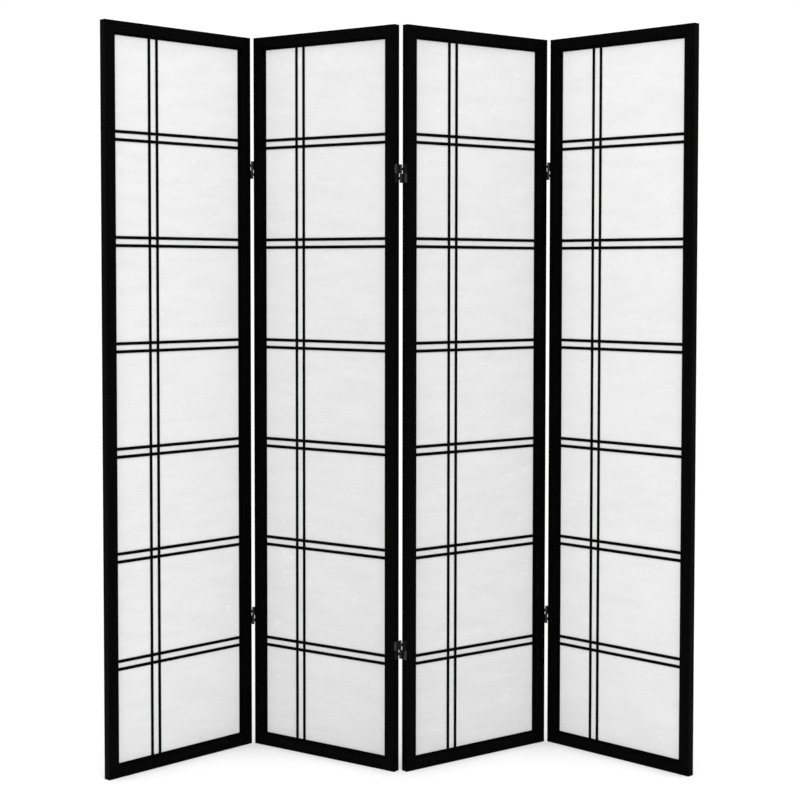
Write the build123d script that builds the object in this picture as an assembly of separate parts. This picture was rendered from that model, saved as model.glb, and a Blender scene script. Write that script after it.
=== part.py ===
from build123d import *
from math import cos, radians, sin
import os

os.makedirs("parts", exist_ok=True)

# A folding room divider: four framed paper panels joined edge to edge by two-way
# hinges, standing in a zig-zag. All sizes are in millimetres and degrees.

# ---------------------------------------------------------------- one panel
panel_width = 438.0
panel_height = 1784.0
panel_thickness = 19.0
stile_width = 28.0
rail_height = 26.0
eased_edge = 0.8

tenon_length = 12.0
tenon_height = 13.0
tenon_thickness = 7.0

paper_thickness = 0.4
groove_depth = 5.0
paper_in_groove = 4.0

border_width = 6.2              # the strips that run along the frame members
strip_width = 7.2
strip_thickness = 1.5
upright_pair_centre = 143.5     # from the panel's left edge
upright_pair_spacing = 22.3     # centre to centre of the two strips
level_pair_centres = [266.0, 522.0, 771.0, 1020.0, 1270.0, 1518.0]
level_pair_spacing = 19.0

# ---------------------------------------------------------------- one hinge
half_gap = 4.3                  # half the gap between two panels laid flat
axis_outside_face = 0.5         # the pin axes lie this far outside the panel faces
pin_radius = 1.0
running_clearance = 0.05
knuckle_radius = 3.0
knuckle_gap = 0.3               # end play between neighbouring knuckles
half_split = 0.4                # gap between the upper and lower half of a hinge
hinge_height = 44.0
end_knuckle = 7.0
leaf_thickness = 1.2
leaf_inset = 1.0                # the leaf stops this far short of each panel face
leaf_arm_thickness = 1.7
link_thickness = 1.4
link_relief = 0.4               # room round a leaf's knuckle inside the link

screw_radius = 1.4
screw_length = 14.0
screw_head_radius = 2.7
screw_head_depth = 1.0
screw_rows = [6.5, 22.0, 37.5]

# ---------------------------------------------------------------- the stance
panel_headings = [45.0, -36.0, 36.0, -45.0]
valley_hinge_heights = [327.0, 1455.0]
peak_hinge_heights = [294.0, 1433.0]
joints = [
    # name, left panel, right panel, hinge centre heights, side that closes
    ("left_joint", 1, 2, valley_hinge_heights, "front"),
    ("middle_joint", 2, 3, peak_hinge_heights, "back"),
    ("right_joint", 3, 4, valley_hinge_heights, "front"),
]

# ---------------------------------------------------------------- worked out
opening_left = stile_width
opening_right = panel_width - stile_width
opening_bottom = rail_height
opening_top = panel_height - rail_height
mid_depth = panel_thickness / 2
half_height = (hinge_height - half_split) / 2
axis_depth = {"front": -axis_outside_face, "back": panel_thickness + axis_outside_face}


def block(low, high):
    """A box between two opposite corners."""
    size = [b - a for a, b in zip(low, high)]
    return Pos(*low) * Box(*size, align=(Align.MIN, Align.MIN, Align.MIN))


def rod(radius, x, y, low, high):
    """An upright cylinder."""
    shape = Cylinder(radius, high - low, align=(Align.CENTER, Align.CENTER, Align.MIN))
    return Pos(x, y, low) * shape


def save(name, solids, place):
    """Put the solids of one node in place and write them as its STEP file."""
    placed = [place * solid for solid in solids]
    shape = placed[0] if len(placed) == 1 else Compound(children=placed)
    shape.label = name
    export_step(shape, f"parts/{name}.step")


# ---------------------------------------------------------------- frame members
def screw_body(edge_x, inward, height):
    """A countersunk screw whose head lies flush with the leaf; inward is +1 or -1 along x."""
    head = Cone(screw_radius, screw_head_radius, screw_head_depth)
    shank = Cylinder(screw_radius, screw_length)
    shape = Pos(0, 0, -screw_head_depth / 2) * head + Pos(0, 0, -screw_length / 2) * shank
    return Pos(edge_x, mid_depth, height) * Rot(0, -90 * inward, 0) * shape


def leaf_plate(edge_x, inward, height):
    """The flat of a leaf, let into the panel edge so that its face is flush."""
    inner_x = edge_x + inward * leaf_thickness
    low = (min(edge_x, inner_x), leaf_inset, height - hinge_height / 2)
    high = (max(edge_x, inner_x), panel_thickness - leaf_inset, height + hinge_height / 2)
    return block(low, high)


def stile(inner_side, hinge_heights):
    """A full-height upright; inner_side is +1 for a left stile and -1 for a right one."""
    low_x = 0 if inner_side > 0 else opening_right
    inner_x = opening_left if inner_side > 0 else opening_right
    outer_x = 0 if inner_side > 0 else panel_width
    body = block((low_x, 0, 0), (low_x + stile_width, panel_thickness, panel_height))
    body = fillet(body.edges().filter_by(Axis.Z), eased_edge)
    groove_x = sorted([inner_x, inner_x - inner_side * groove_depth])
    body -= block(
        (groove_x[0], mid_depth - paper_thickness / 2, opening_bottom - groove_depth),
        (groove_x[1], mid_depth + paper_thickness / 2, opening_top + groove_depth),
    )
    mortise_x = sorted([inner_x, inner_x - inner_side * tenon_length])
    for rail_bottom in (0, opening_top):
        tenon_low = rail_bottom + (rail_height - tenon_height) / 2
        body -= block(
            (mortise_x[0], mid_depth - tenon_thickness / 2, tenon_low),
            (mortise_x[1], mid_depth + tenon_thickness / 2, tenon_low + tenon_height),
        )
    for height in hinge_heights:
        body -= leaf_plate(outer_x, inner_side, height)
        for row in screw_rows:
            body -= screw_body(outer_x, inner_side, height - hinge_height / 2 + row)
    return body


def rail(bottom, inner_side):
    """A rail between the stiles with a stub tenon at each end; inner_side is +1 or -1 along z."""
    body = block(
        (opening_left, 0, bottom),
        (opening_right, panel_thickness, bottom + rail_height),
    )
    body = fillet(body.edges().filter_by(Axis.X), eased_edge)
    tenon_low = bottom + (rail_height - tenon_height) / 2
    body += block(
        (opening_left - tenon_length, mid_depth - tenon_thickness / 2, tenon_low),
        (opening_right + tenon_length, mid_depth + tenon_thickness / 2, tenon_low + tenon_height),
    )
    inner_z = bottom + rail_height if inner_side > 0 else bottom
    groove_z = sorted([inner_z, inner_z - inner_side * groove_depth])
    return body - block(
        (opening_left - tenon_length, mid_depth - paper_thickness / 2, groove_z[0]),
        (opening_right + tenon_length, mid_depth + paper_thickness / 2, groove_z[1]),
    )


def paper_sheet():
    """The sheet of paper, held all round in the frame's groove."""
    return block(
        (
            opening_left - paper_in_groove,
            mid_depth - paper_thickness / 2,
            opening_bottom - paper_in_groove,
        ),
        (
            opening_right + paper_in_groove,
            mid_depth + paper_thickness / 2,
            opening_top + paper_in_groove,
        ),
    )


def lattice(outward):
    """The strips on one face of the paper; outward is -1 on the front and +1 on the back."""
    skin = mid_depth + outward * paper_thickness / 2
    middle = skin + outward * strip_thickness / 2
    outer = skin + outward * strip_thickness

    def strip(x_range, z_range, y_range=(skin, outer)):
        y_low, y_high = sorted(y_range)
        return block((x_range[0], y_low, z_range[0]), (x_range[1], y_high, z_range[1]))

    half = strip_width / 2
    inside_x = (opening_left + border_width, opening_right - border_width)
    inside_z = (opening_bottom + border_width, opening_top - border_width)
    borders = [
        strip((opening_left, opening_right), (opening_bottom, inside_z[0])),
        strip((opening_left, opening_right), (inside_z[1], opening_top)),
        strip((opening_left, inside_x[0]), inside_z),
        strip((inside_x[1], opening_right), inside_z),
    ]
    offsets = (-1, 1)
    upright_centres = [
        upright_pair_centre + side * upright_pair_spacing / 2 for side in offsets
    ]
    level_centres = [
        centre + side * level_pair_spacing / 2
        for centre in level_pair_centres
        for side in offsets
    ]
    uprights = []
    for x in upright_centres:
        bar = strip((x - half, x + half), inside_z)
        for z in level_centres:
            bar -= strip((x - half, x + half), (z - half, z + half), (skin, middle))
        uprights.append(bar)
    levels = []
    for z in level_centres:
        bar = strip(inside_x, (z - half, z + half))
        for x in upright_centres:
            bar -= strip((x - half, x + half), (z - half, z + half), (middle, outer))
        levels.append(bar)
    return borders + uprights + levels


# ---------------------------------------------------------------- hinge pieces
# Each is drawn for two panels laid flat: x = 0 is the middle of the gap, y = 0 the
# front faces and z = 0 the bottom of the hinge. A hinge has a lower and an upper half,
# and in each half the knuckles stack as link, leaf, link.
def half_bottom(half):
    """The height at which a half starts."""
    return 0 if half == "lower" else half_height + half_split


def leaf_knuckle_span(half):
    """Bottom and top of the leaf's knuckle, between the two knuckles of the link."""
    start = half_bottom(half)
    return start + end_knuckle + knuckle_gap, start + half_height - end_knuckle - knuckle_gap


def leaf(side, knuckles):
    """A hinge leaf; side is -1 on the left panel and +1 on the right one.

    knuckles lists (half, face): the face, front or back, at which that half has a knuckle.
    """
    body = leaf_plate(side * half_gap, side, hinge_height / 2)
    arm_reach = pin_radius + running_clearance
    for half, face in knuckles:
        low, high = leaf_knuckle_span(half)
        arm_x = sorted([side * half_gap, side * arm_reach])
        leaf_edge_y = leaf_inset if face == "front" else panel_thickness - leaf_inset
        body += block(
            (arm_x[0], leaf_edge_y - leaf_arm_thickness / 2, low),
            (arm_x[1], leaf_edge_y + leaf_arm_thickness / 2, high),
        )
        body += rod(knuckle_radius, 0, axis_depth[face], low, high)
        body -= rod(pin_radius, 0, axis_depth[face], low, high)
    for row in screw_rows:
        body -= screw_body(side * half_gap, side, row)
    return body


def link(half):
    """The link of one half: a plate through the gap with two knuckles at each face."""
    start = half_bottom(half)
    leaf_low, leaf_high = leaf_knuckle_span(half)
    body = block(
        (-link_thickness / 2, axis_depth["front"], start),
        (link_thickness / 2, axis_depth["back"], start + half_height),
    )
    clearance_radius = knuckle_radius + link_relief
    for face in ("front", "back"):
        y = axis_depth[face]
        for low in (start, start + half_height - end_knuckle):
            body += rod(knuckle_radius, 0, y, low, low + end_knuckle)
        body -= block(
            (-clearance_radius, y - clearance_radius, leaf_low - knuckle_gap),
            (clearance_radius, y + clearance_radius, leaf_high + knuckle_gap),
        )
        body -= rod(pin_radius + running_clearance, 0, y, start, start + half_height)
    return body


def pin(half, face):
    """The pin through a leaf's knuckle and the link's two knuckles."""
    start = half_bottom(half)
    return rod(pin_radius, 0, axis_depth[face], start, start + half_height)


# The left leaf carries the upper front and lower back knuckle and the right leaf the
# other two, so the upper link runs from left front to right back, and the lower link
# from left back to right front.
left_knuckles = [("upper", "front"), ("lower", "back")]
right_knuckles = [("upper", "back"), ("lower", "front")]


# ---------------------------------------------------------------- stance in plan
def turned(x, y, heading):
    """A plan vector turned by a heading."""
    c, s = cos(radians(heading)), sin(radians(heading))
    return x * c - y * s, x * s + y * c


def chain_of_corners():
    """The plan place of each panel's front left corner, with the first at the origin."""
    corners = [(0.0, 0.0)]
    for index, (_, _, _, _, closing_face) in enumerate(joints):
        y = axis_depth[closing_face]
        from_left = turned(panel_width + half_gap, y, panel_headings[index])
        from_right = turned(-half_gap, y, panel_headings[index + 1])
        corners.append(
            tuple(c + a - b for c, a, b in zip(corners[-1], from_left, from_right))
        )
    return corners


def plan_extents(corners):
    """Lowest and highest x and y reached by the panels' corners and hinge knuckles."""
    spots = []
    for number, (corner, heading) in enumerate(zip(corners, panel_headings), start=1):
        for x in (0, panel_width):
            for y in (0, panel_thickness):
                spots.append((corner, turned(x, y, heading), 0))
        knuckle_places = []
        if number > 1:
            knuckle_places.append(-half_gap)
        if number < len(panel_headings):
            knuckle_places.append(panel_width + half_gap)
        for x in knuckle_places:
            for face in ("front", "back"):
                spots.append((corner, turned(x, axis_depth[face], heading), knuckle_radius))
    lows = [min(c[i] + v[i] - r for c, v, r in spots) for i in (0, 1)]
    highs = [max(c[i] + v[i] + r for c, v, r in spots) for i in (0, 1)]
    return lows, highs


free_corners = chain_of_corners()
lows, highs = plan_extents(free_corners)
middle_x, middle_y = [(low + high) / 2 for low, high in zip(lows, highs)]
panel_places = {}
for number, (corner, heading) in enumerate(zip(free_corners, panel_headings), start=1):
    spot = (corner[0] - middle_x, corner[1] - middle_y, 0)
    panel_places[number] = Location(spot, (0, 0, heading))

# ---------------------------------------------------------------- write the panels
hinge_heights_right_of = {left: heights for _, left, _, heights, _ in joints}
hinge_heights_left_of = {right: heights for _, _, right, heights, _ in joints}
front_strips = lattice(-1)
back_strips = lattice(1)
for number, place in panel_places.items():
    left_heights = hinge_heights_left_of.get(number, [])
    right_heights = hinge_heights_right_of.get(number, [])
    save(f"panel_{number}_left_stile", [stile(1, left_heights)], place)
    save(f"panel_{number}_right_stile", [stile(-1, right_heights)], place)
    save(f"panel_{number}_top_rail", [rail(opening_top, -1)], place)
    save(f"panel_{number}_bottom_rail", [rail(0, 1)], place)
    save(f"panel_{number}_paper", [paper_sheet()], place)
    save(f"panel_{number}_front_lattice", front_strips, place)
    save(f"panel_{number}_back_lattice", back_strips, place)

# ---------------------------------------------------------------- write the hinges
pins_of = {number: [] for number in panel_places}
screws_of = {number: [] for number in panel_places}
for name, left, right, heights, closing_face in joints:
    # The link whose far knuckle turns on the closing axis travels with the right panel.
    travelling_half = "upper" if closing_face == "front" else "lower"
    for level, height in zip(("lower", "upper"), heights):
        bottom = height - hinge_height / 2
        at_left = Pos(panel_width + half_gap, 0, bottom)
        at_right = Pos(-half_gap, 0, bottom)
        hinge = f"{name}_{level}_hinge"
        save(f"{hinge}_left_leaf", [at_left * leaf(-1, left_knuckles)], panel_places[left])
        save(f"{hinge}_right_leaf", [at_right * leaf(1, right_knuckles)], panel_places[right])
        for half in ("upper", "lower"):
            travels = half == travelling_half
            owner, spot = (right, at_right) if travels else (left, at_left)
            save(f"{hinge}_{half}_link", [spot * link(half)], panel_places[owner])
        pins_of[left] += [at_left * pin(half, face) for half, face in left_knuckles]
        pins_of[right] += [at_right * pin(half, face) for half, face in right_knuckles]
        for row in screw_rows:
            screws_of[left].append(screw_body(panel_width, -1, bottom + row))
            screws_of[right].append(screw_body(0, 1, bottom + row))

for number, place in panel_places.items():
    save(f"panel_{number}_hinge_pins", pins_of[number], place)
    save(f"panel_{number}_hinge_screws", screws_of[number], place)
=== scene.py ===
from collections import namedtuple
from math import pi, radians

import bpy
import numpy as np
from bpy.props import FloatProperty, FloatVectorProperty, PointerProperty
from bpy.types import Operator, Panel, PropertyGroup
from mathutils import Matrix, Vector


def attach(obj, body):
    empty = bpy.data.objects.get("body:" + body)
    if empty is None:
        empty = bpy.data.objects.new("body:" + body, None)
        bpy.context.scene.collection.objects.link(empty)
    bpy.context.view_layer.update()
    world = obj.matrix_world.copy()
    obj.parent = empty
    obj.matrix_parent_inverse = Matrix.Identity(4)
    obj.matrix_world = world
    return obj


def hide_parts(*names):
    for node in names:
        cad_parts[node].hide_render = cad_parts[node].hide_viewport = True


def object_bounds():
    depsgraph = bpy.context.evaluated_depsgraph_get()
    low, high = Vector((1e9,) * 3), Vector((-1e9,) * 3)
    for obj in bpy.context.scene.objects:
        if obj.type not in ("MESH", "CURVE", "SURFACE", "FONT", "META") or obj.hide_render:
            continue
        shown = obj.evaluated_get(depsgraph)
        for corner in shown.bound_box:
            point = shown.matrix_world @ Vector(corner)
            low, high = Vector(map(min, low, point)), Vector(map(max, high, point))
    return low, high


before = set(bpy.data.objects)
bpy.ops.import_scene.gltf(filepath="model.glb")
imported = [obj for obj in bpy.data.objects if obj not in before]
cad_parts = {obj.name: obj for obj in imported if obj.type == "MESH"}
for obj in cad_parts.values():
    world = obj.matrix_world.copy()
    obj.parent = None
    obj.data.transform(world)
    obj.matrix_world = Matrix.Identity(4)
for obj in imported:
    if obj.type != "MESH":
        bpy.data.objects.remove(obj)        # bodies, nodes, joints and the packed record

bl_info = {
    "name": "Folding paper screen",
    "version": (1, 0, 0),
    "blender": (4, 5, 0),
    "location": "View3D > Sidebar > Paper screen",
    "description": "Finishes a four-panel folding screen: paper, lacquer, hinges and studio",
    "category": "Add Mesh",
}

# Everything is in metres, in the frame of the packed model.
MM = 0.001
CAD_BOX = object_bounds()
PANELS = (1, 2, 3, 4)
HINGES = [
    f"{joint}_joint_{level}_hinge"
    for joint in ("left", "middle", "right")
    for level in ("lower", "upper")
]


# ---------------------------------------------------------------- colours and nodes
def linear(code):
    """An sRGB hex colour as linear red, green and blue."""
    channels = [int(code[i:i + 2], 16) / 255 for i in (1, 3, 5)]
    return tuple(
        c / 12.92 if c <= 0.04045 else ((c + 0.055) / 1.055) ** 2.4 for c in channels
    )


def opaque(colour):
    """A colour with full alpha, as a colour socket takes it."""
    return (*colour, 1.0)


def add_node(tree, kind, settings=None, sockets=None):
    """Add one node. settings are its own properties; sockets are its inputs, each given
    a value or another node's output to link."""
    node = tree.nodes.new(kind)
    for key, value in (settings or {}).items():
        setattr(node, key, value)
    for key, value in (sockets or {}).items():
        if isinstance(value, bpy.types.NodeSocket):
            tree.links.new(value, node.inputs[key])
        else:
            node.inputs[key].default_value = value
    return node


def empty_material(name):
    """A material with no nodes yet, and its node tree."""
    material = bpy.data.materials.new(name)
    material.use_nodes = True
    material.node_tree.nodes.clear()
    return material, material.node_tree


def dress(node_name, material):
    """Give a CAD node one material in place of what it came with."""
    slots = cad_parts[node_name].data.materials
    slots.clear()
    slots.append(material)


# ---------------------------------------------------------------- reading the frame
Place = namedtuple("Place", "number middle heading")


def node_points(name):
    """The corners of a CAD node, each once, as rows of x, y and z."""
    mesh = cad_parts[name].data
    flat = np.empty(len(mesh.vertices) * 3, np.float32)
    mesh.vertices.foreach_get("co", flat)
    return np.unique(flat.reshape(-1, 3).astype(float).round(6), axis=0)


def panel_place(number):
    """A panel's place in plan: the middle of its paper, and its heading. The heading is
    the direction from the paper's left end to its right end."""
    plan = node_points(f"panel_{number}_paper")[:, :2]
    halfway = (plan[:, 0].min() + plan[:, 0].max()) / 2
    left = plan[plan[:, 0] < halfway].mean(axis=0)
    right = plan[plan[:, 0] >= halfway].mean(axis=0)
    along = right - left
    return Place(number, (left + right) / 2, float(np.arctan2(along[1], along[0])))


def to_panel(points, place):
    """Points of the frame in a panel's own axes: x along it, y through it, z up."""
    c, s = np.cos(place.heading), np.sin(place.heading)
    x, y = (points[:, :2] - place.middle).T
    return np.stack([x * c + y * s, y * c - x * s, points[:, 2]], axis=1)


def from_panel(points, place):
    """Points of a panel's own axes, back in the frame."""
    c, s = np.cos(place.heading), np.sin(place.heading)
    x, y, z = points.T
    plan = np.stack([x * c - y * s, x * s + y * c], axis=1) + place.middle
    return np.column_stack([plan, z])


PLACES = {number: panel_place(number) for number in PANELS}
PAPER_NODE = to_panel(node_points("panel_1_paper"), PLACES[1])
PAPER_LOW, PAPER_HIGH = PAPER_NODE.min(axis=0), PAPER_NODE.max(axis=0)


# ---------------------------------------------------------------- surfaces
def grid_faces(rows, columns, wraps=False):
    """The four corners of each face of a grid of points, row after row. A grid that
    wraps joins its last column to its first."""
    index = np.arange(rows * columns).reshape(rows, columns)
    if wraps:
        index = np.column_stack([index, index[:, 0]])
    corners = (index[:-1, :-1], index[:-1, 1:], index[1:, 1:], index[1:, :-1])
    return np.stack(corners, axis=-1).reshape(-1, 4)


def closed_surface(rings):
    """Points and faces of a closed surface, from an array of rings of points.

    All the points of the first ring are one pole, and those of the last ring the
    other. A fan of triangles joins each pole to the ring beside it, and four-sided
    faces join each ring to the next. They point outwards if the rings run clockwise
    as seen from outside the first pole.
    """
    rows, columns, _ = rings.shape
    points = np.concatenate([rings[0, :1], rings[1:-1].reshape(-1, 3), rings[-1, :1]])
    here = np.arange(columns) + 1
    beside = np.roll(here, -1)
    last_ring = (rows - 3) * columns
    first_fan = np.column_stack([0 * here, beside, here])
    last_fan = np.column_stack(
        [last_ring + here, last_ring + beside, 0 * here + len(points) - 1]
    )
    bands = grid_faces(rows - 2, columns, wraps=True) + 1
    return points, [*first_fan.tolist(), *bands.tolist(), *last_fan.tolist()]


def mesh_object(name, points, faces, material, smooth=True):
    """A mesh object at the origin from an array of points and a list of faces."""
    mesh = bpy.data.meshes.new(name)
    mesh.from_pydata(points.tolist(), [], faces)
    mesh.polygons.foreach_set("use_smooth", np.full(len(mesh.polygons), smooth))
    mesh.materials.append(material)
    mesh.update()
    made = bpy.data.objects.new(name, mesh)
    bpy.context.scene.collection.objects.link(made)
    return made


# ---------------------------------------------------------------- settings
class PaperSettings(PropertyGroup):
    """The sheets of paper."""

    sheet_colour: FloatVectorProperty(
        name="Sheet", description="Colour of the paper", subtype="COLOR",
        default=linear("#e3e3e3"),
    )
    thin_colour: FloatVectorProperty(
        name="Thin pulp", description="Colour where the pulp drifted thin", subtype="COLOR",
        default=linear("#dfdfdf"),
    )
    fibre_colour: FloatVectorProperty(
        name="Fibres", description="Colour of the long fibres", subtype="COLOR",
        default=linear("#e8e8e8"),
    )
    light_through: FloatProperty(
        name="Light through", description="Share of the light that passes the sheet",
        subtype="FACTOR", min=0.0, max=1.0, default=0.5,
    )
    cockle: FloatProperty(
        name="Cockle", description="How far the paper swells between the strips",
        unit="LENGTH", default=0.5 * MM,
    )
    mesh_step: FloatProperty(
        name="Mesh step", description="Spacing of the sheet's grid",
        unit="LENGTH", default=5.0 * MM,
    )
    cloud_width: FloatProperty(
        name="Cloud width", description="Length of a pulp drift, side to side",
        unit="LENGTH", default=110 * MM,
    )
    cloud_height: FloatProperty(
        name="Cloud height", description="Height of a pulp drift",
        unit="LENGTH", default=26 * MM,
    )
    fibre_spacing: FloatProperty(
        name="Fibre spacing", description="Distance between the long fibres",
        unit="LENGTH", default=30 * MM,
    )


class WoodSettings(PropertyGroup):
    """The lacquered frames and strips."""

    lacquer_colour: FloatVectorProperty(
        name="Lacquer", description="Colour of the black lacquer", subtype="COLOR",
        default=linear("#030303"),
    )
    grain_colour: FloatVectorProperty(
        name="Grain", description="Colour where the lacquer is thin on the late wood",
        subtype="COLOR", default=linear("#090808"),
    )
    gloss: FloatProperty(
        name="Gloss", description="Strength of the lacquer's mirror reflection",
        subtype="FACTOR", min=0.0, max=1.0, default=0.012,
    )
    roughness: FloatProperty(
        name="Roughness", description="Blur of the lacquer's reflection",
        subtype="FACTOR", min=0.0, max=1.0, default=0.42,
    )
    ring_spacing: FloatProperty(
        name="Ring spacing", description="Width of one year's growth in the softwood",
        unit="LENGTH", default=2.8 * MM,
    )
    grain_relief: FloatProperty(
        name="Grain relief", description="How far the late wood stands up in the lacquer",
        unit="LENGTH", default=0.05 * MM,
    )


class HingeSettings(PropertyGroup):
    """The hinges, their pins and screws."""

    lacquer_colour: FloatVectorProperty(
        name="Hinge lacquer", description="Colour of the hinges' lacquer",
        subtype="COLOR", default=linear("#151414"),
    )
    steel_colour: FloatVectorProperty(
        name="Steel", description="Colour of the steel where the lacquer has rubbed off",
        subtype="COLOR", default=linear("#8f8d8c"),
    )
    screw_colour: FloatVectorProperty(
        name="Screws", description="Colour of the blackened screws",
        subtype="COLOR", default=linear("#4a4849"),
    )
    recess_depth: FloatProperty(
        name="Recess depth", description="Depth of the cross recess in a screw's head",
        unit="LENGTH", default=0.8 * MM,
    )
    recess_arm: FloatProperty(
        name="Recess arm", description="Length of one arm of the cross recess",
        unit="LENGTH", default=1.7 * MM,
    )
    recess_width: FloatProperty(
        name="Recess width", description="Width of an arm of the cross recess",
        unit="LENGTH", default=0.7 * MM,
    )


class StageSettings(PropertyGroup):
    """The floor, the lights and the camera."""

    floor_colour: FloatVectorProperty(
        name="Floor", description="Colour of the floor", subtype="COLOR",
        default=linear("#f7f7f7"),
    )
    floor_radius: FloatProperty(
        name="Floor radius", description="Radius of the round floor",
        unit="LENGTH", default=3.0,
    )
    floor_glow: FloatProperty(
        name="Floor glow", description="Light that the floor gives off from below",
        default=0.06,
    )
    room_light: FloatProperty(
        name="Room light", description="Strength of the even light all round", default=1.03,
    )
    lamp_power: FloatProperty(
        name="Lamp", description="Power of the soft lamp above and in front of the object",
        unit="POWER", default=50.0,
    )
    lamp_size: FloatProperty(
        name="Lamp size", description="Side of the soft lamp", unit="LENGTH", default=2.5,
    )
    lamp_place: FloatVectorProperty(
        name="Lamp place", description="From the middle of the object's foot",
        subtype="TRANSLATION", unit="LENGTH", default=(0.05, -2.0, 3.4),
    )
    lens: FloatProperty(
        name="Lens", description="Focal length in millimetres", default=75.628,
    )
    camera_place: FloatVectorProperty(
        name="Camera place", description="From the middle of the object's foot",
        subtype="TRANSLATION", unit="LENGTH", default=(-0.0115, -4.1041, 1.1992),
    )
    camera_turn: FloatProperty(
        name="Camera turn", description="Turn to the left about the upright",
        subtype="ANGLE", default=radians(-1.672),
    )
    camera_tilt: FloatProperty(
        name="Camera tilt", description="Tilt below the level",
        subtype="ANGLE", default=radians(2.421),
    )
    camera_roll: FloatProperty(
        name="Camera roll", description="Turn about the line of sight",
        subtype="ANGLE", default=radians(0.125),
    )
    camera_shift: FloatVectorProperty(
        name="Camera shift", description="Sideways and upward, as a share of the picture",
        size=2, default=(-0.0561, -0.0707),
    )


# ---------------------------------------------------------------- materials
def panel_coordinates(tree, place):
    """The point being shaded in its panel's own axes, so that a pattern runs along the
    panel whichever way it stands."""
    where = add_node(tree, "ShaderNodeTexCoord")
    own = add_node(
        tree, "ShaderNodeMapping", {"vector_type": "TEXTURE"},
        {
            "Vector": where.outputs["Object"],
            "Location": (*place.middle, 0.0),
            "Rotation": (0.0, 0.0, place.heading),
        },
    )
    return own.outputs["Vector"]


def stretched(tree, coordinates, sizes):
    """Coordinates divided by a feature's size along each axis, in metres."""
    scaled = add_node(
        tree, "ShaderNodeMapping", {"vector_type": "POINT"},
        {"Vector": coordinates, "Scale": tuple(1 / size for size in sizes)},
    )
    return scaled.outputs["Vector"]


def satin_lacquer_on_planed_softwood(place, along, settings):
    """Softwood, planed, and sprayed with two coats of black satin lacquer.

    The coats are thin, so the hard late wood of each growth ring stands up as a fine
    line along the board, and the film is a touch smoother on it. The gloss is dulled
    by the matting in the lacquer: the black stays deep and only brightens at a low
    angle. along is "X" for a rail and "Z" for a stile.
    """
    board = {"X": "rail", "Z": "stile"}[along]
    material, tree = empty_material(
        f"satin_lacquer_on_planed_softwood_{board}_{place.number}"
    )
    own = panel_coordinates(tree, place)
    # The rings run round a pith that lies outside the board, so that they show as nearly
    # straight lines along it and as arcs on its end, and they wander slowly along it.
    # The wave's own period is 2 pi / 20.
    pith = {"X": (0.0, 0.06, 0.03), "Z": (0.03 + 0.01 * place.number, 0.07, 0.0)}[along]
    from_pith = add_node(
        tree, "ShaderNodeMapping", {"vector_type": "TEXTURE"},
        {
            "Vector": own,
            "Location": pith,
            "Scale": {"X": (0.3, 1.0, 1.0), "Z": (1.0, 1.0, 0.3)}[along],
        },
    )
    rings = add_node(
        tree, "ShaderNodeTexWave",
        {"wave_type": "RINGS", "rings_direction": along, "wave_profile": "SAW"},
        {
            "Vector": from_pith.outputs["Vector"],
            "Scale": 2 * pi / 20 / settings.ring_spacing,
            "Distortion": 3.0,
            "Detail": 2.0,
            "Detail Scale": 0.06,
            "Detail Roughness": 0.5,
            "Phase Offset": 1.7 * place.number,
        },
    )
    # Pores and fine scratches: 0.7 mm across the grain, drawn out 60 mm along it. A real
    # pore is about 0.05 mm wide and would not show.
    fine, long = 0.7 * MM, 60 * MM
    pores = add_node(
        tree, "ShaderNodeTexNoise", {"noise_dimensions": "4D"},
        {
            "Vector": stretched(
                tree, own, {"X": (long, fine, fine), "Z": (fine, fine, long)}[along]
            ),
            "W": 5.3 * place.number,
            "Scale": 1.0,
            "Detail": 3.0,
            "Roughness": 0.6,
        },
    )
    # Slow changes where the spray lay thicker, about 90 mm across.
    coat = add_node(
        tree, "ShaderNodeTexNoise", {"noise_dimensions": "4D"},
        {
            "Vector": stretched(tree, own, (90 * MM,) * 3),
            "W": 2.9 * place.number,
            "Scale": 1.0,
            "Detail": 2.0,
        },
    )
    grain = add_node(
        tree, "ShaderNodeMath", {"operation": "MULTIPLY"},
        {0: rings.outputs["Fac"], 1: pores.outputs["Fac"]},
    )
    colour = add_node(
        tree, "ShaderNodeMix", {"data_type": "RGBA"},
        {
            0: grain.outputs[0],
            6: opaque(settings.lacquer_colour),
            7: opaque(settings.grain_colour),
        },
    )
    roughness = add_node(
        tree, "ShaderNodeMapRange", None,
        {
            "Value": coat.outputs["Fac"],
            "From Min": 0.3, "From Max": 0.7,
            "To Min": settings.roughness - 0.06, "To Max": settings.roughness + 0.1,
        },
    )
    relief = add_node(
        tree, "ShaderNodeBump", None,
        {"Height": grain.outputs[0], "Strength": 1.0, "Distance": settings.grain_relief},
    )
    shader = add_node(
        tree, "ShaderNodeBsdfPrincipled", None,
        {
            "Base Color": colour.outputs[2],
            "Roughness": roughness.outputs["Result"],
            "IOR": 1.5,
            "Specular IOR Level": settings.gloss,
            "Normal": relief.outputs["Normal"],
        },
    )
    add_node(
        tree, "ShaderNodeOutputMaterial", None, {"Surface": shader.outputs["BSDF"]}
    )
    return material


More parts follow.
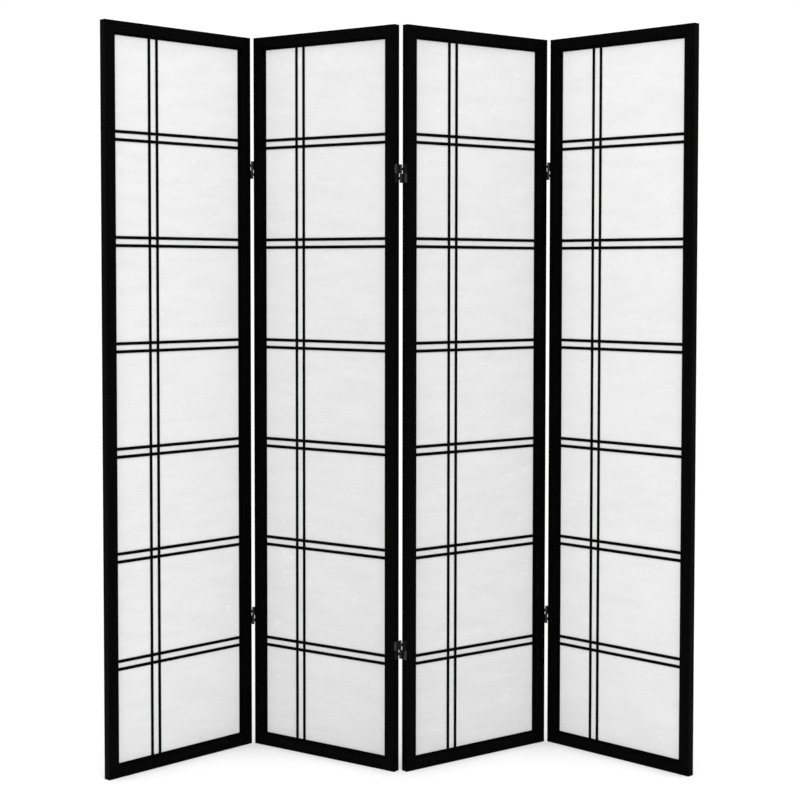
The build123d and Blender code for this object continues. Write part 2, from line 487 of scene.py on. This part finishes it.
def satin_lacquer_on_sliced_strips(place, settings):
    """Thin strips sliced from softwood and lacquered before they were glued down.

    They are too thin to show rings. The eye gets an even black, a little browner where
    the coat is thin, with the fine grain of dried spray, drawn 1 mm wide so that it
    shows.
    """
    material, tree = empty_material(f"satin_lacquer_on_sliced_strips_{place.number}")
    own = panel_coordinates(tree, place)
    spray = add_node(
        tree, "ShaderNodeTexNoise", None,
        {"Vector": stretched(tree, own, (1 * MM,) * 3), "Scale": 1.0, "Detail": 2.0},
    )
    coat = add_node(
        tree, "ShaderNodeTexNoise", {"noise_dimensions": "4D"},
        {
            "Vector": stretched(tree, own, (35 * MM,) * 3),
            "W": 4.1 * place.number,
            "Scale": 1.0,
            "Detail": 2.0,
        },
    )
    colour = add_node(
        tree, "ShaderNodeMix", {"data_type": "RGBA"},
        {
            0: coat.outputs["Fac"],
            6: opaque(settings.lacquer_colour),
            7: opaque(settings.grain_colour),
        },
    )
    roughness = add_node(
        tree, "ShaderNodeMapRange", None,
        {
            "Value": spray.outputs["Fac"],
            "To Min": settings.roughness, "To Max": settings.roughness + 0.15,
        },
    )
    relief = add_node(
        tree, "ShaderNodeBump", None,
        {
            "Height": spray.outputs["Fac"],
            "Strength": 0.6,
            "Distance": settings.grain_relief,
        },
    )
    shader = add_node(
        tree, "ShaderNodeBsdfPrincipled", None,
        {
            "Base Color": colour.outputs[2],
            "Roughness": roughness.outputs["Result"],
            "IOR": 1.5,
            "Specular IOR Level": settings.gloss,
            "Normal": relief.outputs["Normal"],
        },
    )
    add_node(
        tree, "ShaderNodeOutputMaterial", None, {"Surface": shader.outputs["BSDF"]}
    )
    return material


def machine_laid_fibre_paper(place, settings):
    """White fibre paper, laid by machine from long-fibred pulp.

    The pulp settles in drifts that run from side to side, a little thinner and greyer
    than the rest, with long pale fibres across them. It is matt, and light passes
    through it. A real fibre is 0.1 mm wide; it is drawn 0.8 mm wide so that it shows.
    """
    material, tree = empty_material(f"machine_laid_fibre_paper_{place.number}")
    own = panel_coordinates(tree, place)
    drift_size = (settings.cloud_width, settings.cloud_width, settings.cloud_height)
    drifts = add_node(
        tree, "ShaderNodeTexNoise", {"noise_dimensions": "4D"},
        {
            "Vector": stretched(tree, own, drift_size),
            "W": 3.1 * place.number,
            "Scale": 1.0,
            "Detail": 4.0,
            "Roughness": 0.55,
            "Distortion": 0.3,
        },
    )
    # Long fibres are the narrow bands where a slow noise passes through its middle
    # value, broken into lengths by a second noise.
    spacing = settings.fibre_spacing
    curves = add_node(
        tree, "ShaderNodeTexNoise", {"noise_dimensions": "4D"},
        {
            "Vector": stretched(tree, own, (2.2 * spacing, 2.2 * spacing, spacing)),
            "W": 7.7 * place.number,
            "Scale": 1.0,
            "Detail": 1.0,
            "Distortion": 0.8,
        },
    )
    off_middle = add_node(
        tree, "ShaderNodeMath", {"operation": "SUBTRACT"}, {0: curves.outputs["Fac"], 1: 0.5}
    )
    distance = add_node(
        tree, "ShaderNodeMath", {"operation": "ABSOLUTE"}, {0: off_middle.outputs[0]}
    )
    on_curve = add_node(
        tree, "ShaderNodeMapRange", {"interpolation_type": "SMOOTHSTEP"},
        {
            "Value": distance.outputs[0],
            "From Min": 0.0, "From Max": 0.014,
            "To Min": 1.0, "To Max": 0.0,
        },
    )
    breaks = add_node(
        tree, "ShaderNodeTexNoise", None,
        {"Vector": stretched(tree, own, (36 * MM,) * 3), "Scale": 1.0, "Detail": 0.0},
    )
    lengths = add_node(
        tree, "ShaderNodeMapRange", {"interpolation_type": "SMOOTHSTEP"},
        {"Value": breaks.outputs["Fac"], "From Min": 0.48, "From Max": 0.56},
    )
    fibres = add_node(
        tree, "ShaderNodeMath", {"operation": "MULTIPLY"},
        {0: on_curve.outputs["Result"], 1: lengths.outputs["Result"]},
    )
    thin = add_node(
        tree, "ShaderNodeMapRange", {"interpolation_type": "SMOOTHSTEP"},
        {"Value": drifts.outputs["Fac"], "From Min": 0.35, "From Max": 0.68},
    )
    sheet = add_node(
        tree, "ShaderNodeMix", {"data_type": "RGBA"},
        {
            0: thin.outputs["Result"],
            6: opaque(settings.sheet_colour),
            7: opaque(settings.thin_colour),
        },
    )
    colour = add_node(
        tree, "ShaderNodeMix", {"data_type": "RGBA"},
        {0: fibres.outputs[0], 6: sheet.outputs[2], 7: opaque(settings.fibre_colour)},
    )
    tooth = add_node(
        tree, "ShaderNodeTexNoise", None,
        {"Vector": stretched(tree, own, (2.5 * MM,) * 3), "Scale": 1.0, "Detail": 3.0},
    )
    height = add_node(
        tree, "ShaderNodeMath", {"operation": "ADD"},
        {0: tooth.outputs["Fac"], 1: fibres.outputs[0]},
    )
    relief = add_node(
        tree, "ShaderNodeBump", None,
        {"Height": height.outputs[0], "Strength": 1.0, "Distance": 0.05 * MM},
    )
    face = add_node(
        tree, "ShaderNodeBsdfPrincipled", None,
        {
            "Base Color": colour.outputs[2],
            "Roughness": 0.9,
            "IOR": 1.5,
            "Specular IOR Level": 0.15,
            "Normal": relief.outputs["Normal"],
        },
    )
    through = add_node(
        tree, "ShaderNodeBsdfTranslucent", None,
        {"Color": colour.outputs[2], "Normal": relief.outputs["Normal"]},
    )
    both = add_node(
        tree, "ShaderNodeMixShader", None,
        {0: settings.light_through, 1: face.outputs["BSDF"], 2: through.outputs["BSDF"]},
    )
    add_node(
        tree, "ShaderNodeOutputMaterial", None, {"Surface": both.outputs["Shader"]}
    )
    return material


def black_lacquered_steel(name, settings, wear):
    """Pressed and rolled steel, dipped in black lacquer.

    The lacquer is glossier than the wood's and picks out the round of each knuckle. It
    has gone thin in specks where parts rub; wear is from 0, none, to 1.
    """
    material, tree = empty_material(name)
    where = add_node(tree, "ShaderNodeTexCoord")
    pits = add_node(
        tree, "ShaderNodeTexNoise", None,
        {
            "Vector": stretched(tree, where.outputs["Object"], (1.6 * MM,) * 3),
            "Scale": 1.0,
            "Detail": 4.0,
            "Roughness": 0.65,
        },
    )
    rubbed = add_node(
        tree, "ShaderNodeMapRange", {"interpolation_type": "SMOOTHSTEP"},
        {
            "Value": pits.outputs["Fac"],
            "From Min": 0.78 - 0.12 * wear, "From Max": 0.84 - 0.12 * wear,
        },
    )
    colour = add_node(
        tree, "ShaderNodeMix", {"data_type": "RGBA"},
        {
            0: rubbed.outputs["Result"],
            6: opaque(settings.lacquer_colour),
            7: opaque(settings.steel_colour),
        },
    )
    roughness = add_node(
        tree, "ShaderNodeMapRange", None,
        {"Value": pits.outputs["Fac"], "To Min": 0.24, "To Max": 0.42},
    )
    relief = add_node(
        tree, "ShaderNodeBump", None,
        {"Height": pits.outputs["Fac"], "Strength": 0.5, "Distance": 0.06 * MM},
    )
    shader = add_node(
        tree, "ShaderNodeBsdfPrincipled", None,
        {
            "Base Color": colour.outputs[2],
            "Metallic": rubbed.outputs["Result"],
            "Roughness": roughness.outputs["Result"],
            "IOR": 1.5,
            "Specular IOR Level": 0.3,
            "Coat Weight": 0.15,
            "Coat Roughness": 0.12,
            "Normal": relief.outputs["Normal"],
        },
    )
    add_node(
        tree, "ShaderNodeOutputMaterial", None, {"Surface": shader.outputs["BSDF"]}
    )
    return material


def blackened_steel(settings):
    """Screws turned from steel wire and blackened in oil.

    The oxide keeps a metal's coloured reflection but darkens it, with a fine turned
    grain on the head.
    """
    material, tree = empty_material("blackened_turned_steel")
    where = add_node(tree, "ShaderNodeTexCoord")
    blotches = add_node(
        tree, "ShaderNodeTexNoise", None,
        {
            "Vector": stretched(tree, where.outputs["Object"], (0.9 * MM,) * 3),
            "Scale": 1.0,
            "Detail": 3.0,
        },
    )
    colour = add_node(
        tree, "ShaderNodeMix", {"data_type": "RGBA"},
        {
            0: blotches.outputs["Fac"],
            6: opaque(settings.lacquer_colour),
            7: opaque(settings.screw_colour),
        },
    )
    roughness = add_node(
        tree, "ShaderNodeMapRange", None,
        {"Value": blotches.outputs["Fac"], "To Min": 0.28, "To Max": 0.5},
    )
    shader = add_node(
        tree, "ShaderNodeBsdfPrincipled", None,
        {
            "Base Color": colour.outputs[2],
            "Metallic": 1.0,
            "Roughness": roughness.outputs["Result"],
        },
    )
    add_node(
        tree, "ShaderNodeOutputMaterial", None, {"Surface": shader.outputs["BSDF"]}
    )
    return material


def matt_painted_floor(settings):
    """A floor rolled with matt white paint, very slightly uneven."""
    material, tree = empty_material("matt_painted_floor")
    where = add_node(tree, "ShaderNodeTexCoord")
    patches = add_node(
        tree, "ShaderNodeTexNoise", None,
        {"Vector": where.outputs["Object"], "Scale": 1.3, "Detail": 2.0},
    )
    roughness = add_node(
        tree, "ShaderNodeMapRange", None,
        {"Value": patches.outputs["Fac"], "To Min": 0.8, "To Max": 0.9},
    )
    shader = add_node(
        tree, "ShaderNodeBsdfPrincipled", None,
        {
            "Base Color": opaque(settings.floor_colour),
            "Roughness": roughness.outputs["Result"],
            "Specular IOR Level": 0.1,
            "Emission Color": opaque(settings.floor_colour),
            "Emission Strength": settings.floor_glow,
        },
    )
    add_node(
        tree, "ShaderNodeOutputMaterial", None, {"Surface": shader.outputs["BSDF"]}
    )
    return material


# ---------------------------------------------------------------- the shapes
def held_lines(axis):
    """Where the front strips hold the paper along a panel's x (0) or z (2): the two
    edges of each strip, border strips included, from the lowest up."""
    strips = to_panel(node_points("panel_1_front_lattice"), PLACES[1])
    return np.unique(strips[:, axis].round(4))


def swell(positions, edges):
    """How free the paper is at each position along one axis: nothing on a strip, and
    half a sine wave over each bay between two strips. Also gives the number of the gap
    between two edges, a strip or a bay, that each position lies in."""
    gap = np.clip(np.searchsorted(edges, positions, side="right") - 1, 0, len(edges) - 2)
    low, high = edges[gap], edges[gap + 1]
    share = np.clip((positions - low) / (high - low), 0, 1)
    # Edges come in pairs, so every odd gap is a bay and every even gap is a strip.
    is_bay = (gap % 2 == 1) & (positions > edges[0]) & (positions < edges[-1])
    return np.where(is_bay, np.sin(pi * share), 0.0), gap


# The slow waves in a sheet, each by its turn in radians per metre across and up it.
# They are 85 mm and 140 mm long up the sheet, and 160 mm long across it.
SHEET_WAVES = (
    (9.0, 2 * pi / (85 * MM)),
    (-14.0, 2 * pi / (140 * MM)),
    (2 * pi / (160 * MM), 5.0),
)
WAVE_SHARE = 0.7     # the height of the waves over that of a bay's own swing


def paper_points(place, settings):
    """The paper as a grid over its width and height.

    Its depth at a point is the cockle height, times how free the paper is there from
    side to side, times how free it is from top to bottom, times the sum of one swing
    chosen for the bay and a share of the mean of three slow sine waves.
    """
    draws = np.random.default_rng(40 + place.number)
    columns = int((PAPER_HIGH[0] - PAPER_LOW[0]) / settings.mesh_step) + 1
    rows = int((PAPER_HIGH[2] - PAPER_LOW[2]) / settings.mesh_step) + 1
    x = np.linspace(PAPER_LOW[0], PAPER_HIGH[0], columns)
    z = np.linspace(PAPER_LOW[2], PAPER_HIGH[2], rows)
    free_x, gap_x = swell(x, held_lines(0))
    free_z, gap_z = swell(z, held_lines(2))
    swings = draws.uniform(-1, 1, (gap_z.max() + 1, gap_x.max() + 1))
    phases = draws.uniform(0, 2 * pi, len(SHEET_WAVES))
    x_grid, z_grid = np.meshgrid(x, z)
    waves = [
        np.sin(across * x_grid + up * z_grid + phase)
        for (across, up), phase in zip(SHEET_WAVES, phases)
    ]
    height = swings[np.ix_(gap_z, gap_x)] + WAVE_SHARE * np.mean(waves, axis=0)
    depth = settings.cockle * np.outer(free_z, free_x) * height
    return np.stack([x_grid, depth, z_grid], axis=-1).reshape(-1, 3), rows, columns


Screw = namedtuple("Screw", "side edge height head_radius length")
SHANK_SHARE = 14 / 27       # the shank's radius over the head's
CONE_SLOPE = 0.77           # the countersunk cone's depth over its width
POINT_LENGTH = 3 * MM       # the tapered end of the shank
TIP_LENGTH = 0.6 * MM       # its last, blunter part
TIP_SHARE = 0.35            # the radius where the tip starts over the shank's
RECESS_WALL = 0.2 * MM      # width over which a side of the recess slopes
RECESS_END = 0.8 * MM       # length over which an arm of the recess runs out


def screws_of(number):
    """The screws of a panel, read from its screw node: the side each is on, how far out
    its head's face lies, the height of its axis, its head's radius and its length."""
    points = to_panel(node_points(f"panel_{number}_hinge_screws"), PLACES[number])
    found = []
    for side in (-1, 1):
        on_side = points[points[:, 0] * side > 0]
        if not len(on_side):
            continue
        reach = on_side[:, 0] * side
        edge, length = reach.max(), reach.max() - reach.min()
        heights = np.sort(on_side[reach > edge - 0.01 * MM][:, 2])
        for rim in np.split(heights, np.flatnonzero(np.diff(heights) > 5 * MM) + 1):
            low, high = rim[0], rim[-1]
            found.append(Screw(side, edge, (low + high) / 2, (high - low) / 2, length))
    return found


def screw_surface(screw, settings):
    """One countersunk screw as a surface of revolution with a cross recess.

    Its profile runs from the middle of the head's face out to the rim, down the cone
    and along the shank to a point; each profile point is carried round the axis. On
    the face, a point lying within half a recess width of either arm, and within an
    arm's length of the axis, is sunk by the recess depth, less towards the arm's end.
    """
    shank = screw.head_radius * SHANK_SHARE
    cone = screw.head_radius - shank
    face_radii = np.linspace(0, 1, 12) * screw.head_radius
    radii = np.concatenate([face_radii, [shank, shank, TIP_SHARE * shank, 0]])
    point, tip = screw.length - POINT_LENGTH, screw.length - TIP_LENGTH
    depths = np.concatenate(
        [0 * face_radii, [CONE_SLOPE * cone, point, tip, screw.length]]
    )
    turns = np.linspace(2 * pi, 0, 48, endpoint=False)
    radius, turn = np.meshgrid(radii, turns, indexing="ij")
    across, along = np.sort(np.abs([radius * np.cos(turn), radius * np.sin(turn)]), axis=0)
    sunk = np.clip((settings.recess_width / 2 - across) / RECESS_WALL + 0.5, 0, 1)
    sunk *= np.clip((settings.recess_arm - along) / RECESS_END, 0, 1)
    on_face = np.arange(len(radii)) < len(face_radii) - 1
    depth = depths[:, None] + np.where(on_face[:, None], sunk * settings.recess_depth, 0)
    # Each screw was driven to a turn of its own, 0.37 radians for each mm of its height.
    driven = turn + 0.37 * screw.height / MM
    rings = np.stack(
        [
            screw.side * (screw.edge - depth),
            radius * np.cos(driven),
            screw.height + screw.side * radius * np.sin(driven),
        ],
        axis=-1,
    )
    return closed_surface(rings)


# ---------------------------------------------------------------- operators
class SCREEN_OT_paper_sheets(Operator):
    """Make the four sheets of paper, held in the frames and between the strips"""

    bl_idname = "paper_screen.paper_sheets"
    bl_label = "Paper sheets"

    def execute(self, context):
        settings = context.scene.screen_paper
        for number, place in PLACES.items():
            points, rows, columns = paper_points(place, settings)
            sheet = mesh_object(
                f"fibre_paper_{number}",
                from_panel(points, place),
                grid_faces(rows, columns).tolist(),
                machine_laid_fibre_paper(place, settings),
            )
            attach(sheet, f"panel_{number}")
            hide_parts(f"panel_{number}_paper")
        return {"FINISHED"}


class SCREEN_OT_frames(Operator):
    """Lacquer the stiles and rails of the four frames"""

    bl_idname = "paper_screen.frames"
    bl_label = "Lacquered frames"

    def execute(self, context):
        settings = context.scene.screen_wood
        for number, place in PLACES.items():
            stile = satin_lacquer_on_planed_softwood(place, "Z", settings)
            rail = satin_lacquer_on_planed_softwood(place, "X", settings)
            dress(f"panel_{number}_left_stile", stile)
            dress(f"panel_{number}_right_stile", stile)
            dress(f"panel_{number}_top_rail", rail)
            dress(f"panel_{number}_bottom_rail", rail)
        return {"FINISHED"}


class SCREEN_OT_strips(Operator):
    """Lacquer the strips on both faces of the paper"""

    bl_idname = "paper_screen.strips"
    bl_label = "Lattice strips"

    def execute(self, context):
        settings = context.scene.screen_wood
        for number, place in PLACES.items():
            strips = satin_lacquer_on_sliced_strips(place, settings)
            dress(f"panel_{number}_front_lattice", strips)
            dress(f"panel_{number}_back_lattice", strips)
        return {"FINISHED"}


class SCREEN_OT_hinges(Operator):
    """Finish the hinges' leaves, links and pins"""

    bl_idname = "paper_screen.hinges"
    bl_label = "Hinges and pins"

    def execute(self, context):
        settings = context.scene.screen_hinges
        pressed = black_lacquered_steel("lacquered_pressed_steel", settings, 0.2)
        rolled = black_lacquered_steel("lacquered_rolled_steel", settings, 0.5)
        drawn = black_lacquered_steel("lacquered_drawn_steel", settings, 1.0)
        for hinge in HINGES:
            dress(f"{hinge}_left_leaf", pressed)
            dress(f"{hinge}_right_leaf", pressed)
            dress(f"{hinge}_upper_link", rolled)
            dress(f"{hinge}_lower_link", rolled)
        for number in PANELS:
            dress(f"panel_{number}_hinge_pins", drawn)
        return {"FINISHED"}


class SCREEN_OT_screws(Operator):
    """Make the hinge screws with a cross recess in each head"""

    bl_idname = "paper_screen.screws"
    bl_label = "Hinge screws"

    def execute(self, context):
        settings = context.scene.screen_hinges
        steel = blackened_steel(settings)
        for number, place in PLACES.items():
            screws = screws_of(number)
            if not screws:
                raise RuntimeError(f"panel {number} has no hinge screws in the frame")
            points, faces = np.empty((0, 3)), []
            for screw in screws:
                new_points, new_faces = screw_surface(screw, settings)
                faces += [[corner + len(points) for corner in face] for face in new_faces]
                points = np.concatenate([points, new_points])
            made = mesh_object(
                f"hinge_screws_{number}", from_panel(points, place), faces, steel
            )
            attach(made, f"panel_{number}")
            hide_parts(f"panel_{number}_hinge_screws")
        return {"FINISHED"}


class SCREEN_OT_stage(Operator):
    """Set up the floor, the soft lights and the camera"""

    bl_idname = "paper_screen.stage"
    bl_label = "Studio stage"

    def execute(self, context):
        settings = context.scene.screen_stage
        scene = context.scene
        low, high = CAD_BOX
        foot = Vector(((low.x + high.x) / 2, (low.y + high.y) / 2, low.z))
        self.lay_floor(settings, foot)
        self.light(scene, settings, foot, high.z)
        self.place_camera(scene, settings, foot)
        scene.view_settings.view_transform = "Standard"
        return {"FINISHED"}

    def lay_floor(self, settings, foot):
        """A round slab: its profile runs from the middle of the top out to the edge,
        down, and back to the middle. Each point lies at the cosine and sine of its turn
        times its radius. The top is a hair below the object."""
        radii = settings.floor_radius * np.array([0, 1, 1, 0])
        drops = np.array([0.2, 0.2, 20, 20]) * MM
        turns = np.linspace(2 * pi, 0, 96, endpoint=False)
        radius, turn = np.meshgrid(radii, turns, indexing="ij")
        drop = np.repeat(drops[:, None], len(turns), axis=1)
        rings = np.stack([radius * np.cos(turn), radius * np.sin(turn), -drop], axis=-1)
        points, faces = closed_surface(rings + np.array(foot))
        floor = mesh_object(
            "floor", points, faces, matt_painted_floor(settings), smooth=False
        )

    def light(self, scene, settings, foot, top):
        """An even white room, and one broad lamp aimed at the middle of the object."""
        world = bpy.data.worlds.new("even_white_room")
        world.use_nodes = True
        world.node_tree.nodes.clear()
        background = add_node(
            world.node_tree, "ShaderNodeBackground", None,
            {"Color": (1.0, 1.0, 1.0, 1.0), "Strength": settings.room_light},
        )
        add_node(
            world.node_tree, "ShaderNodeOutputWorld", None,
            {"Surface": background.outputs["Background"]},
        )
        scene.world = world
        lamp = bpy.data.lights.new("soft_lamp", "AREA")
        lamp.shape = "SQUARE"
        lamp.size = settings.lamp_size
        lamp.energy = settings.lamp_power
        holder = bpy.data.objects.new("soft_lamp", lamp)
        place = foot + Vector(settings.lamp_place)
        aim = foot + Vector((0.0, 0.0, 0.5 * top))
        holder.matrix_world = Matrix.Translation(place) @ (
            (aim - place).to_track_quat("-Z", "Y").to_matrix().to_4x4()
        )
        scene.collection.objects.link(holder)

    def place_camera(self, scene, settings, foot):
        """The camera stands in front of the object and looks slightly down."""
        camera = bpy.data.cameras.new("camera")
        camera.lens = settings.lens
        camera.sensor_width = 36.0
        camera.shift_x, camera.shift_y = settings.camera_shift
        holder = bpy.data.objects.new("camera", camera)
        holder.matrix_world = (
            Matrix.Translation(foot + Vector(settings.camera_place))
            @ Matrix.Rotation(settings.camera_turn, 4, "Z")
            @ Matrix.Rotation(radians(90) - settings.camera_tilt, 4, "X")
            @ Matrix.Rotation(settings.camera_roll, 4, "Z")
        )
        scene.collection.objects.link(holder)
        scene.camera = holder


OPERATORS = (
    SCREEN_OT_stage,
    SCREEN_OT_frames,
    SCREEN_OT_strips,
    SCREEN_OT_paper_sheets,
    SCREEN_OT_hinges,
    SCREEN_OT_screws,
)
SETTINGS = {
    "screen_paper": PaperSettings,
    "screen_wood": WoodSettings,
    "screen_hinges": HingeSettings,
    "screen_stage": StageSettings,
}


class SCREEN_PT_sidebar(Panel):
    """The screen's settings, and a button for each group of pieces"""

    bl_label = "Folding paper screen"
    bl_space_type = "VIEW_3D"
    bl_region_type = "UI"
    bl_category = "Paper screen"

    def draw(self, context):
        for name, group in SETTINGS.items():
            box = self.layout.box()
            box.label(text=group.__doc__)
            for key in group.__annotations__:
                box.prop(getattr(context.scene, name), key)
        for operator in OPERATORS:
            self.layout.operator(operator.bl_idname)


CLASSES = (*SETTINGS.values(), *OPERATORS, SCREEN_PT_sidebar)


def register():
    """Add the settings, the operators and the sidebar panel to Blender."""
    for cls in CLASSES:
        bpy.utils.register_class(cls)
    for name, group in SETTINGS.items():
        setattr(bpy.types.Scene, name, PointerProperty(type=group))


def unregister():
    """Take them out again."""
    for name in SETTINGS:
        delattr(bpy.types.Scene, name)
    for cls in reversed(CLASSES):
        bpy.utils.unregister_class(cls)


def main():
    register()
    for operator in OPERATORS:
        module, name = operator.bl_idname.split(".")
        getattr(getattr(bpy.ops, module), name)()


if __name__ == "__main__":
    main()
